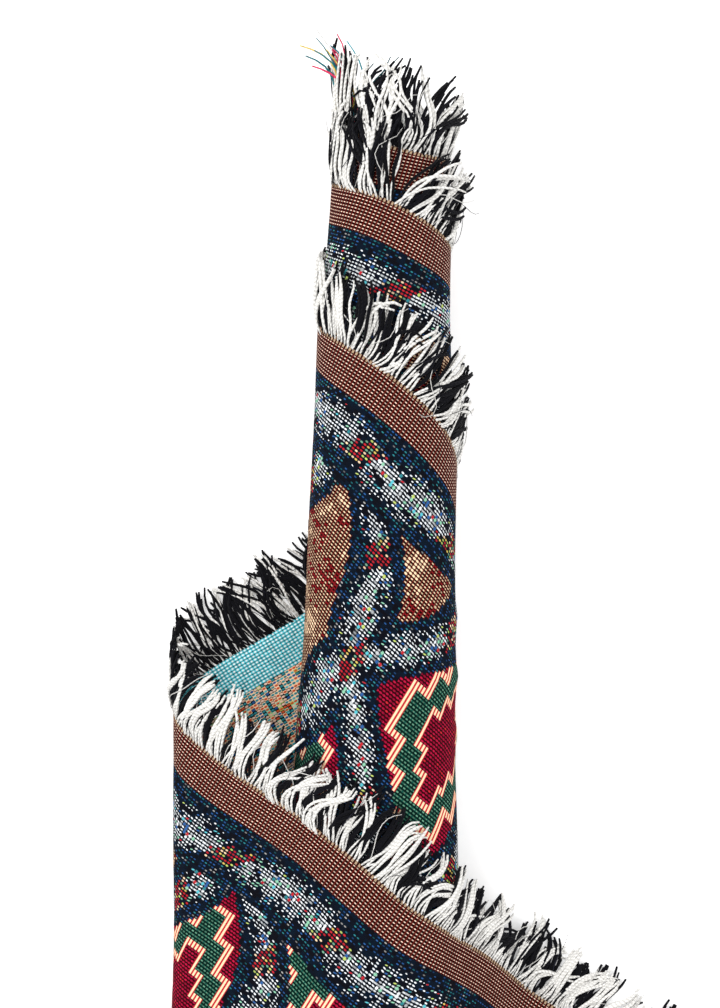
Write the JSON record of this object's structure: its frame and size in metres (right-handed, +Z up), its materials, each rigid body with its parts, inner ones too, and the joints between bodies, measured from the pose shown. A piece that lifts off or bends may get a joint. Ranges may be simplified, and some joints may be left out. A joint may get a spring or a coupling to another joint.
{
  "type": "throw blanket",
  "caption": "Fringed woven throw blanket rolled askew, lying on its side with its outer end folded once over the roll and let down flat.",
  "frame": {"origin": "centre of the lying blanket's footprint, on the surface that it lies on", "axes": "+Y along the roll towards its thin, fringed top end; +X towards the loose outer end; +Z up"},
  "size_m": [0.4957, 1.8573, 0.0982],
  "materials": {
    "woven_cloth": "thick jacquard weave, matte",
    "black_and_white_yarn": "cut cotton yarn ends, matte",
    "coloured_yarn": "cut cotton yarn ends, matte"
  },
  "bodies": {
    "root": {"woven_throw": "woven_cloth", "fringe_top_inner_turn": "black_and_white_yarn", "fringe_top_middle_turn": "black_and_white_yarn", "fringe_top_outer_turn": "black_and_white_yarn", "fringe_top_back": "black_and_white_yarn", "fringe_top_front": "black_and_white_yarn", "fringe_bottom": "black_and_white_yarn", "fringe_outer_end": "coloured_yarn", "fringe_outer_end_under": "coloured_yarn", "fringe_inner_corner": "coloured_yarn"}
  },
  "joints": []
}
